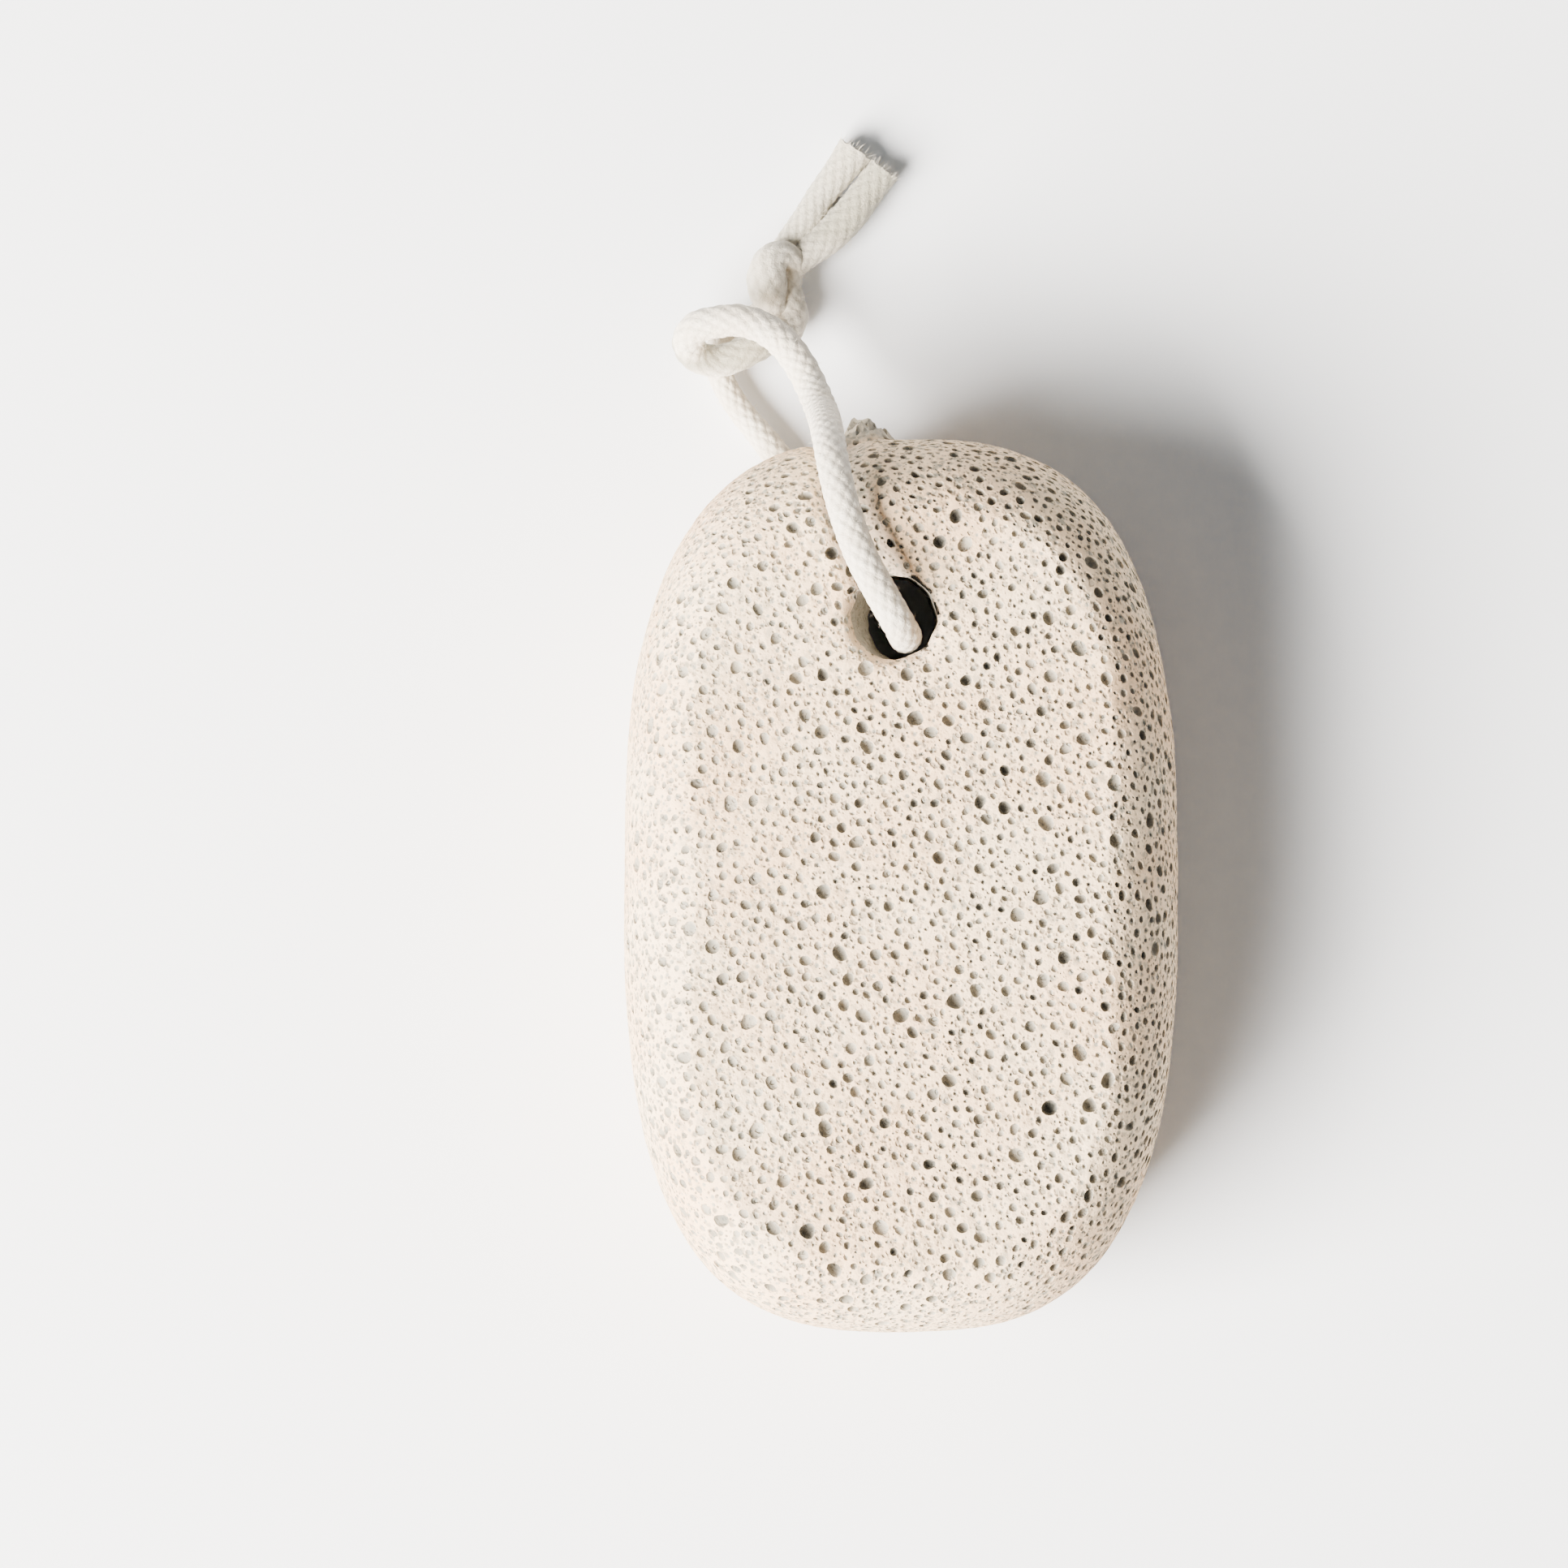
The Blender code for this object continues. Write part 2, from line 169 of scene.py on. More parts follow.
KNOT_TURN_ROUTE = (
    (-13.4, 65.4, 2.0, 1.40), (-14.5, 65.9, 3.3, 1.85), (-15.0, 67.2, 4.5, 2.10),
    (-15.0, 68.8, 4.9, 2.15), (-14.4, 70.3, 4.7, 1.95), (-13.2, 71.0, 4.2, 1.65),
    (-12.1, 70.5, 3.4, 1.40), (-11.9, 69.4, 2.3, 1.25),
)
ROPE_DRAWN_THIN = 0.4                       # off the radius of the rope under the stone, by the knot
DRAWN_BETWEEN = (44.0, 54.0)                # the distances up the picture where it thins
RING_STEP = 0.14
ROPE_SIDES = 64
ROPE_FLOOR = 0.02                           # it lies on the floor and no lower
ROPE_SHARP = math.radians(60)
BRAID_STRANDS = 8                           # that turn each way round the rope
BRAID_STEP = 0.95                           # along the rope, from one strand to the next
BRAID_RELIEF = 0.26
BRAID_MIDDLE = 0.72                         # the height in the braid that lies on the rope's radius
STRAND_NARROWNESS = 3.6
STRAND_LEVEL, STRAND_WEAVE = 0.62, 0.38     # height of a strand, and its rise and fall on the way
PINCHED = (0.15, 0.8)                       # share of their step at which rings lose their relief
CAP_RINGS = (0.66, 0.33)
# Painted shade on the yarn: in the knot, the tails, more on the right tail, most under the curl
KNOT_SHADE, TAIL_SHADE, RIGHT_TAIL_SHADE, CURL_SHADE = 0.35, 0.25, 0.35, 0.9
CUT_DEPTH = 0.8                             # how far in from a cut end it is uneven
CUT_REACH = 4.0                             # wider than the rope, and short of its other end
CUT_ROUGHNESS = 0.3
CUT_NOISE = (0.8, 4.0)
FIBRES_PER_MM = 9                           # of rope, standing off it
SIDE_FIBRE_SHARE = 0.6                      # of the length of those at the cut ends
CUT_FIBRES = 130                            # at each cut end
FIBRE_RADIUS = 0.016
FIBRE_RINGS = (0.0, 0.35, 0.7)              # along its length, before its point
FIBRE_TAPER = 0.4
FIBRE_LENGTH = (0.4, 1.5)
FIBRE_ROOT = 0.05                           # how far below the rope's radius it starts
FIBRE_OUT = (0.15, 0.7)                     # its way off the rope, then how it strays and bends
FIBRE_ALONG, FIBRE_ACROSS, FIBRE_BEND = 0.7, 0.5, 0.35
CUT_FIBRE_ROOT = 0.3
CUT_FIBRE_STRAY, CUT_FIBRE_FAN, CUT_FIBRE_BEND = 0.22, 0.12, 0.2
FIBRE_FLOOR = 0.03
FIBRE_LOWEST_ROOT = 0.25
FIBRE_SEED = 5

# Colours of the rock, from its skin to the painted shade at the bottom of a pore, of the yarn with its
# painted shade, and of the floor
ROCK_COLOURS = {"First": (0.93, 0.62, 0.36, 1), "Second": (0.96, 0.73, 0.47, 1)}
# Rubbed wear mixed with painted shade, in the channels, the lips of the hole and its wall
WORN_AND_SHADED_ROCK, WORN_AND_SHADED_SHARE = (0.52, 0.47, 0.40, 1), 0.55
# Painted shade in pores too small to model
BROAD_PORE, BROAD_SHARE = (0.26, 0.25, 0.20, 1), 0.9
SOFT_PORE = (0.21, 0.20, 0.16, 1)
SMALL_PORE = (0.16, 0.14, 0.11, 1)
# Painted shade in the modelled pores, the crumb and the hole's wall: greyer on the walls, near black at
# the bottom
PORE_WALL, PORE_WALL_RISE, PORE_WALL_SHARE = (0.46, 0.44, 0.37, 1), 6.0, 0.8
PORE_BOTTOM = (0.045, 0.045, 0.038, 1)
YARN_COLOURS = {"First": (0.88, 0.78, 0.63, 1), "Second": (0.93, 0.86, 0.73, 1)}
YARN_FLECK, FLECK_SHARE = (0.50, 0.45, 0.36, 1), 0.4
# Painted shade between the braid's strands and on the end caps
YARN_GAP = (0.60, 0.52, 0.42, 1)
# Painted shade on the yarn in the knot, the tails and under the curl
YARN_SHADE = (0.38, 0.35, 0.26, 1)
FLOOR_COLOUR = (0.91, 0.93, 0.97, 1)

# The room, in metres
FLOOR_HALF = 1.5
FLOOR_DROP = 0.0001                         # under the object, so that the two don't touch
SKY_COLOUR, SKY_STRENGTH = (0.88, 0.95, 1.0, 1), 0.24
KEY_AT = (-0.95, -0.55, 0.88)
KEY_SIZE = 1.0
KEY_WATTS = 200.0
KEY_COLOUR = (1.0, 0.95, 0.88)

# The camera looks straight down; the middle of the frame and its scale come from the photograph
PHOTO_SIDE = 1932
PHOTO_PIXELS_PER_MM = 11.02                 # at the stone's widest, halfway up
PHOTO_STONE_MIDDLE = (1109.5, 1091.0)
CAMERA_HEIGHT = 1500.0
SENSOR = 36.0


def rounded_max(a, b, softness):
    """The larger of two values, with the crease between them rounded."""
    blend = np.maximum(softness - np.abs(a - b), 0.0)
    return np.maximum(a, b) + blend ** 2 / (4 * softness)


def smooth_step(low, high, value):
    share = np.clip((value - low) / (high - low), 0.0, 1.0)
    return share * share * (3 - 2 * share)


def smooth_route(points, step):
    """Points a step apart on one smooth curve through the given points, of any dimension."""
    given = np.array(points, float)
    ends = np.vstack([2 * given[:1] - given[1:2], given, 2 * given[-1:] - given[-2:-1]])
    before, start, end, after = ends[:-3], ends[1:-2], ends[2:-1], ends[3:]
    t = (np.arange(ROUTE_DETAIL) / ROUTE_DETAIL)[None, :, None]
    before, start, end, after = (part[:, None, :] for part in (before, start, end, after))
    fine = 0.5 * (
        2 * start + (end - before) * t + (2 * before - 5 * start + 4 * end - after) * t ** 2
        + (3 * start - before - 3 * end + after) * t ** 3)
    fine = np.vstack([fine.reshape(-1, given.shape[1]), given[-1:]])
    lengths = np.concatenate(
        [[0.0], np.cumsum(np.linalg.norm(np.diff(fine[:, :3], axis=0), axis=1))])
    count = max(2, round(lengths[-1] / step))
    wanted = np.linspace(0, lengths[-1], count + 1)
    return np.column_stack([np.interp(wanted, lengths, column) for column in fine.T])


def noise_at(points, wavelength, offset):
    """Smooth noise from -1 to 1 at each point."""
    shifted = points / wavelength + offset
    return np.array([noise.noise(Vector(p)) for p in shifted])


def mesh_object(name, points, faces, material, attributes=()):
    mesh = bpy.data.meshes.new(name)
    mesh.from_pydata((points * MM).tolist(), [], faces)
    mesh.update()
    for label, values in attributes:
        layer = mesh.attributes.new(label, "FLOAT", "POINT")
        layer.data.foreach_set("value", np.asarray(values, np.float32))
    mesh.materials.append(material)
    item = bpy.data.objects.new(name, mesh)
    bpy.context.scene.collection.objects.link(item)
    return item


# The stone's skin, as two charts: the flat face in the middle, the rounded edge unrolled round it

def outline_reach(turn):
    """From the middle of the stone to its outline, in the direction of the angle."""
    across = np.abs(np.cos(turn)) / (WIDTH / 2)
    along = np.abs(np.sin(turn)) / (LENGTH / 2)
    return (across ** OUTLINE_POWER + along ** OUTLINE_POWER) ** (-1 / OUTLINE_POWER)


def outline_normal(turn):
    x = np.sign(np.cos(turn)) * (np.abs(np.cos(turn)) / (WIDTH / 2)) ** (OUTLINE_POWER - 1)
    y = np.sign(np.sin(turn)) * (np.abs(np.sin(turn)) / (LENGTH / 2)) ** (OUTLINE_POWER - 1)
    out = np.column_stack([x / (WIDTH / 2), y / (LENGTH / 2)])
    return out / np.linalg.norm(out, axis=1, keepdims=True)


def shoulder_profile():
    """Inset, level and slope of the rounded edge, against the distance run over it from the face."""
    lift = np.linspace(FACE_LIFT, 0.0, PROFILE_STEPS)
    bend = 2 / SHOULDER_POWER
    inset = SHOULDER * (1 - np.cos(lift) ** bend)
    level = THICKNESS / 2 * (np.sin(lift) / math.sin(FACE_LIFT)) ** bend
    out, down = -np.diff(inset), -np.diff(level)
    step = np.hypot(out, down)
    run = np.concatenate([[0.0], np.cumsum(step)])
    middle = (run[1:] + run[:-1]) / 2
    return run, inset, level, (middle, down / step, out / step)


RUN, INSET, LEVEL, (SLOPE_RUN, SLOPE_OUT, SLOPE_UP) = shoulder_profile()


def on_skin(chart, side):
    """Places and outward directions on the plain skin, for points of one side's chart."""
    reach = np.hypot(chart[:, 0], chart[:, 1])
    turn = np.arctan2(chart[:, 1], chart[:, 0])
    outer = outline_reach(turn)
    run = reach - (outer - INSET[0])
    inset = np.where(run > 0, np.interp(run, RUN, INSET), outer - reach)
    level = np.interp(run, RUN, LEVEL)
    radius = outer - inset
    place = np.column_stack(
        [radius * np.cos(turn), radius * np.sin(turn), THICKNESS / 2 + side * level])
    out = np.where(run > 0, np.interp(run, SLOPE_RUN, SLOPE_OUT), 0.0)
    up = np.where(run > 0, np.interp(run, SLOPE_RUN, SLOPE_UP), 1.0)
    normal = np.column_stack([outline_normal(turn) * out[:, None], side * up])
    return place, normal / np.linalg.norm(normal, axis=1, keepdims=True)


def squeeze(chart):
    """How much narrower the skin is than its chart, across the way out from the middle."""
    reach = np.maximum(np.hypot(chart[:, 0], chart[:, 1]), 1e-6)
    turn = np.arctan2(chart[:, 1], chart[:, 0])
    outer = outline_reach(turn)
    run = reach - (outer - INSET[0])
    return np.where(run > 0, (outer - np.interp(run, RUN, INSET)) / reach, 1.0)


def bar_depth(place, normal, axis_points, radius):
    """How far a bar or ball round the nearest axis point reaches below the skin."""
    best = np.full(len(place), np.inf)
    nearest = np.zeros_like(place)
    for point in axis_points:
        far = np.linalg.norm(place - point, axis=1)
        closer = far < best
        best[closer] = far[closer]
        nearest[closer] = point
    height = ((place - nearest) * normal).sum(1)
    inside = best < radius
    root = np.sqrt(np.maximum(height ** 2 - best ** 2 + radius ** 2, 0.0))
    return np.where(inside, height + root, radius - best)


def carve_depth(place, normal):
    """How deep the worn channels and the rounded mouths of the hole lie under the plain skin."""
    depth = np.zeros(len(place))
    for path, radius in CHANNELS:
        cut = bar_depth(place, normal, smooth_route(path, CHANNEL_STEP), radius)
        depth = rounded_max(depth, cut, CARVE_SOFTNESS)
    for middle, radius in MOUTHS:
        cut = bar_depth(place, normal, np.array([middle]), radius)
        depth = rounded_max(depth, cut, CARVE_SOFTNESS)
    past_edge = np.hypot(place[:, 0] - HOLE_AT[0], place[:, 1] - HOLE_AT[1]) - HOLE_RADIUS
    on_face = np.abs(normal[:, 2]) > FACE_SLOPE
    bite = np.clip(LIP - past_edge, 0.0, LIP)
    depth += np.where(on_face, LIP - np.sqrt(LIP ** 2 - bite ** 2), 0.0) * LIP_DEPTH
    return depth


def crumb_height(place):
    """The rough lump left standing on the end."""
    far = np.linalg.norm((place - CRUMB_AT) / CRUMB_STRETCH, axis=1)
    rise = np.clip(1 - (far / CRUMB_REACH) ** 2, 0.0, 1.0) ** CRUMB_EDGE
    rough = sum(height * noise_at(place, *wave) for height, *wave in CRUMB_NOISES)
    return CRUMB_HEIGHT * rise * (1 + rough)


def relief_depth(place, side):
    """Slow unevenness and grain of the rock. It stays below the plain skin on the back."""
    relief = sum(height * (1 + noise_at(place, *wave)) for height, *wave in ROCK_NOISES)
    return relief - FRONT_LIFT * (side > 0)


def inside_chart(chart, margin):
    turn = np.arctan2(chart[:, 1], chart[:, 0])
    reach = np.hypot(chart[:, 0], chart[:, 1])
    edge = outline_reach(turn) - INSET[0] + RUN[-1]
    hole = np.hypot(chart[:, 0] - HOLE_AT[0], chart[:, 1] - HOLE_AT[1])
    return (reach < edge - margin) & (hole > HOLE_RADIUS + margin)


class Scatter:
    """Round spots in space that keep clear of each other."""

    def __init__(self, cell):
        self.cell = cell
        self.cells = {}

    def is_free(self, spot, radius, gap):
        home = [math.floor(side / self.cell) for side in spot]
        for i in (-1, 0, 1):
            for j in (-1, 0, 1):
                for k in (-1, 0, 1):
                    near = self.cells.get((home[0] + i, home[1] + j, home[2] + k), ())
                    for other, size in near:
                        if math.dist(spot, other) < radius + size + gap:
                            return False
        return True

    def add(self, spot, radius):
        home = tuple(math.floor(side / self.cell) for side in spot)
        self.cells.setdefault(home, []).append((spot, radius))


def scattered_chart(chance, count, side):
    """Chart points spread evenly over one side of the skin, with places and outward directions."""
    half = np.array([WIDTH, LENGTH]) / 2 - INSET[0] + RUN[-1]
    chart = chance.uniform(-half, half, (count, 2))
    chart = chart[inside_chart(chart, SKIN_MARGIN)]
    chart = chart[chance.uniform(0, 1, len(chart)) < squeeze(chart)]
    place, normal = on_skin(chart, side)
    return chart, place, normal


def place_pores(chance, side, taken):
    """Chart points and radii of one side's pores, the largest placed first."""
    radii = PORE_MIDDLE_RADIUS * np.exp(PORE_SPREAD * chance.standard_normal(PORES_PER_SIDE[side]))
    radii = np.sort(np.clip(radii, PORE_SMALLEST, PORE_LARGEST))[::-1]
    chart, place, normal = scattered_chart(chance, PORE_TRIES, side)
    worn = smooth_step(*WORN_BETWEEN, carve_depth(place, normal))
    lain_on = smooth_step(*BACK_BETWEEN, -normal[:, 2])
    bare = np.maximum(WORN_BARE * worn, BACK_BARE * lain_on)
    keep = chance.uniform(0, 1, len(chart)) > bare
    chart, place = chart[keep], place[keep]
    spots = place.tolist()
    chosen, sizes = [], []
    at = 0
    for radius in radii.tolist():
        while at < len(spots):
            clear = inside_chart(chart[at:at + 1], radius * PORE_REACH + PORE_MARGIN)[0]
            if clear and taken.is_free(spots[at], radius * PORE_REACH, PORE_GAP):
                taken.add(spots[at], radius * PORE_REACH)
                chosen.append(chart[at])
                sizes.append(radius)
                at += 1
                break
            at += 1
    return np.array(chosen), np.array(sizes)


def place_fill(chance, side, taken):
    """Points between the pores, closer together where the skin is carved."""
    chart, place, normal = scattered_chart(chance, FILL_TRIES, side)
    carved = carve_depth(place, normal)
    lump = np.linalg.norm(place - CRUMB_AT, axis=1) < CRUMB_REACH
    close = ((carved > 0.03) & (carved < 4.0)) | lump
    chosen = []
    for point, spot, near in zip(chart, place.tolist(), close.tolist()):
        radius = (FILL_SPACING_CARVED if near else FILL_SPACING) / 2
        if taken.is_free(spot, radius, 0.0):
            taken.add(spot, radius)
            chosen.append(point)
    return np.array(chosen)


def pore_points(chance, centres, radii, rings):
    """Chart points, offsets in space, depths and painted shade, growing with depth, for every point of
    the given pores.
    """
    count = len(centres)
    away = centres / np.maximum(np.linalg.norm(centres, axis=1, keepdims=True), 1e-6)
    across = np.column_stack([-away[:, 1], away[:, 0]]) / squeeze(centres)[:, None]
    stretch = chance.uniform(0.0, PORE_STRETCH, (count, 1)) * (PORE_REACH - 1)
    corner = chance.uniform(0.0, PORE_CORNER, (count, 1)) * (PORE_REACH - 1)
    start = chance.uniform(0, math.tau, (count, 3))
    deep = chance.uniform(*PORE_DEPTHS, (count, 1))
    deep *= 1 - LEFT_SHALLOWER * smooth_step(*LEFT_BETWEEN, centres[:, :1])
    dark = chance.uniform(*PORE_DARKS, (count, 1)) * deep
    charts, pulls, depths, darks = [], [], [], []
    for sides, chart_share, space_share, depth in rings:
        angle = start[:, :1] + math.tau * np.arange(sides)[None, :] / sides
        wave = 1 + stretch * np.cos(2 * (angle - start[:, 1:2]))
        wave += corner * np.cos(3 * (angle - start[:, 2:3]))
        reach = wave * radii[:, None]
        x, y = np.cos(angle) * reach, np.sin(angle) * reach
        offset = x[:, :, None] * away[:, None, :] + y[:, :, None] * across[:, None, :]
        charts.append(centres[:, None, :] + offset * chart_share)
        pulls.append(offset * (space_share - chart_share))
        depths.append(np.repeat(depth * radii[:, None] * deep, sides, axis=1))
        darks.append(np.repeat(min(depth, 1.0) * dark, sides, axis=1))
    return (np.concatenate(part, axis=1) for part in (charts, pulls, depths, darks))


def rim_edges(first, count, points, rim):
    """The closed loops of edges round rims whose points follow each other."""
    start = first + points * np.arange(count)[:, None]
    here = start + np.arange(rim)
    there = start + (np.arange(rim) + 1) % rim
    return np.column_stack([here.ravel(), there.ravel()]).tolist()


def side_chart(side, taken):
    """One side's chart points, their pulls, depths and painted shade, and the edges that must stay."""
    chance = np.random.default_rng(PORE_SEED + side)
    centres, radii = place_pores(chance, side, taken)
    seam_turn = math.tau * np.arange(SEAM_SIDES) / SEAM_SIDES
    seam_reach = outline_reach(seam_turn) - INSET[0] + RUN[-1]
    seam = np.column_stack([np.cos(seam_turn), np.sin(seam_turn)]) * seam_reach[:, None]
    hole_turn = math.tau * np.arange(HOLE_SIDES) / HOLE_SIDES
    hole = np.array(HOLE_AT) + HOLE_RADIUS * np.column_stack([np.cos(hole_turn), np.sin(hole_turn)])
    fill = place_fill(chance, side, taken)

    charts, pulls, depths, darks = [], [], [], []
    edges = []
    for loop in (seam, hole):
        edges += rim_edges(sum(map(len, charts)), 1, len(loop), len(loop))
        charts.append(loop)
    charts.append(fill)
    plain = sum(map(len, charts))
    pulls.append(np.zeros((plain, 2)))
    depths.append(np.zeros(plain))
    darks.append(np.zeros(plain))
    first = plain
    largest = np.inf
    for smallest, rings in PORE_KINDS:
        kind = (radii >= smallest) & (radii < largest)
        largest = smallest
        chart, pull, depth, dark = pore_points(chance, centres[kind], radii[kind], rings)
        points = chart.shape[1]
        edges += rim_edges(first, len(chart), points, rings[0][0])
        charts.append(chart.reshape(-1, 2))
        pulls.append(pull.reshape(-1, 2))
        depths.append(depth.ravel())
        darks.append(dark.ravel())
        first += len(chart) * points
    return (np.vstack(charts), np.vstack(pulls), np.concatenate(depths), np.concatenate(darks),
            edges)


def side_mesh(side, taken):
    """One side of the stone: points, triangles facing out, painted shade, and rubbed wear mixed with
    painted shade.
    """
    chart, pull, depth, dark, edges = side_chart(side, taken)
    corners, _, faces = delaunay_2d_cdt([Vector(p) for p in chart.tolist()], edges, [], 0, 1e-7)[:3]
    added = len(corners) - len(chart)       # where two rims cross
    chart = np.array([tuple(corner) for corner in corners])
    pull = np.vstack([pull, np.zeros((added, 2))])
    depth = np.concatenate([depth, np.zeros(added)])
    dark = np.concatenate([dark, np.zeros(added)])
    middle = np.array([chart[list(face)].mean(0) for face in faces])
    away = np.hypot(middle[:, 0] - HOLE_AT[0], middle[:, 1] - HOLE_AT[1])
    beside_hole = away > HOLE_RADIUS * 0.98
    faces = [face if side > 0 else face[::-1] for face, keep in zip(faces, beside_hole) if keep]

    place, normal = on_skin(chart, side)
    pulled, _ = on_skin(chart + pull, side)
    carved = carve_depth(place, normal)
    lump = crumb_height(place)
    fall = carved + relief_depth(place, side) - lump
    # Painted shade greying the crumb, through the pore shade
    dark = dark + CRUMB_DARK * smooth_step(0.1, 0.8, lump)
    point = pulled - normal * (fall + depth)[:, None]
    away = point[:, :2] - HOLE_AT
    far = np.linalg.norm(away, axis=1)
    near = smooth_step(HOLE_CHIPS, 0.0, far - HOLE_RADIUS)
    shift = near * (0.1 + CHIP_HEIGHT * noise_at(point, *CHIP_NOISE))
    point[:, :2] += away / far[:, None] * shift[:, None]
    # Rubbed wear mixed with painted shade, in the carved channels and the lips of the hole
    wear_and_shade = smooth_step(*WEAR_AND_SHADE_BETWEEN, carved)
    return point, faces, dark, wear_and_shade


def make_stone(material):
    """Both sides of the skin, joined at the widest line and through the hole."""
    taken = Scatter(2 * PORE_LARGEST * PORE_REACH + PORE_GAP)
    points, faces, dark, wear_and_shade = side_mesh(1, taken)
    back_points, back_faces, back_dark, back_wear_and_shade = side_mesh(-1, taken)
    shift = len(points) - SEAM_SIDES
    faces += [
        tuple(i if i < SEAM_SIDES else i + shift for i in face) for face in back_faces]
    points = np.vstack([points, back_points[SEAM_SIDES:]])
    dark = np.concatenate([dark, back_dark[SEAM_SIDES:]])
    wear_and_shade = np.concatenate([wear_and_shade, back_wear_and_shade[SEAM_SIDES:]])

    front_ring = SEAM_SIDES + np.arange(HOLE_SIDES)
    back_ring = front_ring + shift
    share = (np.arange(1, HOLE_ROWS) / HOLE_ROWS)[:, None, None]
    wall = points[front_ring] * (1 - share) + points[back_ring] * share
    outward = wall - np.array([*HOLE_AT, 0.0])
    outward[:, :, 2] = 0
    outward /= np.linalg.norm(outward, axis=2, keepdims=True)
    rough = noise_at(wall.reshape(-1, 3), *WALL_NOISE).reshape(wall.shape[:2])
    waist = smooth_step(*WAIST_IN, share) * smooth_step(*WAIST_OUT, share)
    waist = HOLE_WAIST * waist[:, :, 0] * np.maximum(0.0, -outward[:, :, 0])
    wall += outward * (np.maximum(0.0, 0.35 * rough + 0.05) - waist)[:, :, None]
    first = len(points)
    points = np.vstack([points, wall.reshape(-1, 3)])
    count = wall.shape[0] * HOLE_SIDES
    # Painted shade on the hole's wall, through the pore shade and the wear and shade
    dark = np.concatenate([dark, np.full(count, WALL_DARK)])
    wear_and_shade = np.concatenate([wear_and_shade, np.full(count, WALL_WEAR_AND_SHADE)])
    rows = [front_ring.tolist()]
    rows += (first + np.arange(count).reshape(-1, HOLE_SIDES)).tolist()
    rows.append(back_ring.tolist())
    for upper, lower in zip(rows, rows[1:]):
        for i in range(HOLE_SIDES):
            j = (i + 1) % HOLE_SIDES
            faces.append((upper[j], upper[i], lower[i], lower[j]))

    stone = mesh_object(
        "pumice", points, faces, material, (("pore", dark), ("wear_and_shade", wear_and_shade)))
    stone.data.shade_smooth()
    stone.data.set_sharp_from_angle(angle=ROCK_SHARP)
    return stone


# The rope

def ring_frames(route):
    """Two directions across the rope at each of its points, turning as little as they can."""
    run = np.gradient(route, axis=0)
    run /= np.linalg.norm(run, axis=1, keepdims=True)
    side = np.cross(run[0], (0.0, 0.0, 1.0) if abs(run[0][2]) < 0.9 else (1.0, 0.0, 0.0))
    sides = []
    for along in run:
        side = side - along * side.dot(along)
        side /= np.linalg.norm(side)
        sides.append(side)
    sides = np.array(sides)
    return sides, np.cross(run, sides)


def braid_height(turn, along):
    """Height of the braid from 0 in its gaps to 1: two families of strands, over and under."""
    one = BRAID_STRANDS * turn / math.tau + along / (2 * BRAID_STEP)
    two = BRAID_STRANDS * turn / math.tau - along / (2 * BRAID_STEP)
    over = STRAND_WEAVE * np.where((np.floor(one) + np.floor(two)) % 2 == 0, 1.0, -1.0)
    a, b = one % 1 - 0.5, two % 1 - 0.5
    round_a, round_b = (
        np.sqrt(np.maximum(1 - STRAND_NARROWNESS * part * part, 0)) for part in (a, b))
    first = round_a * (STRAND_LEVEL + over * np.cos(math.pi * b))
    second = round_b * (STRAND_LEVEL - over * np.cos(math.pi * a))
    return np.maximum(first, second)


def rope_surface(route, radii):
    """Rings of points round the rope, and how deep each lies in the braid, which sets the painted shade
    between the strands.
    """
    sides, ups = ring_frames(route)
    lengths = np.concatenate([[0.0], np.cumsum(np.linalg.norm(np.diff(route, axis=0), axis=1))])
    turn = math.tau * np.arange(ROPE_SIDES) / ROPE_SIDES
    height = braid_height(turn[None, :], lengths[:, None])
    out = (np.cos(turn)[None, :, None] * sides[:, None, :]
           + np.sin(turn)[None, :, None] * ups[:, None, :])
    round_tube = route[:, None, :] + radii[:, None, None] * out
    spacing = np.linalg.norm(np.gradient(round_tube, axis=0), axis=2) / RING_STEP
    unpinched = smooth_step(*PINCHED, spacing)
    relief = BRAID_RELIEF * unpinched * (height - BRAID_MIDDLE)
    rings = round_tube + relief[:, :, None] * out
    rings[:, :, 2] = np.maximum(rings[:, :, 2], ROPE_FLOOR)
    return rings, (1 - height) * unpinched


def yarn_shade_at(points):
    """How much painted shade greys the yarn: in the knot, more in the right tail, most under the curl.
    """
    across, along, up = points.T
    right_tail = smooth_step(-0.8, 0.8, across + 10.2 - 0.78 * (along - 73.0))
    knot_and_tail_shade = KNOT_SHADE * smooth_step(63.5, 67.0, along)
    knot_and_tail_shade += (TAIL_SHADE + RIGHT_TAIL_SHADE * right_tail) * smooth_step(71.0, 74.0, along)
    in_curl = CURL_SHADE * smooth_step(57.0, 58.5, along) * smooth_step(9.0, 8.0, up)
    in_curl *= smooth_step(3.6, 4.4, up) * smooth_step(63.5, 62.0, along)
    return np.maximum(knot_and_tail_shade, in_curl)


